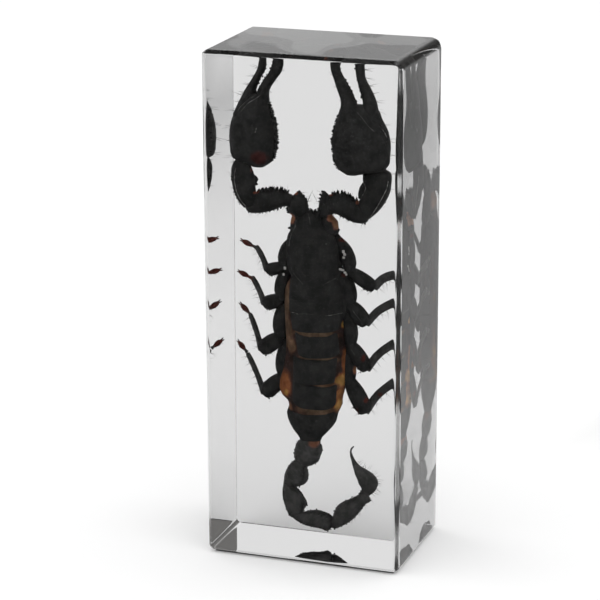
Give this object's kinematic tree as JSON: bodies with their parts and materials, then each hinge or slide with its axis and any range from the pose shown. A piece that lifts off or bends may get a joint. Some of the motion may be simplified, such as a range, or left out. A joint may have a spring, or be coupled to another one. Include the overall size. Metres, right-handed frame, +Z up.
{
  "type": "scorpion in clear resin block",
  "caption": "Upright clear resin block with a whole black scorpion sealed inside, claws up and tail curled, to stand on a desk or shelf or to hold down paper.",
  "frame": {"origin": "centre of the block's base", "axes": "+Z up along the block's height, +Y from its front face to its back, +X to the right as seen from the front"},
  "size_m": [0.043, 0.03, 0.11],
  "materials": {
    "resin": "clear cast resin, polished",
    "cuticle": "near-black horny cuticle with brown joints"
  },
  "bodies": {
    "root": {"resin_front": "resin", "resin_back": "resin", "scorpion": "cuticle"}
  },
  "joints": []
}
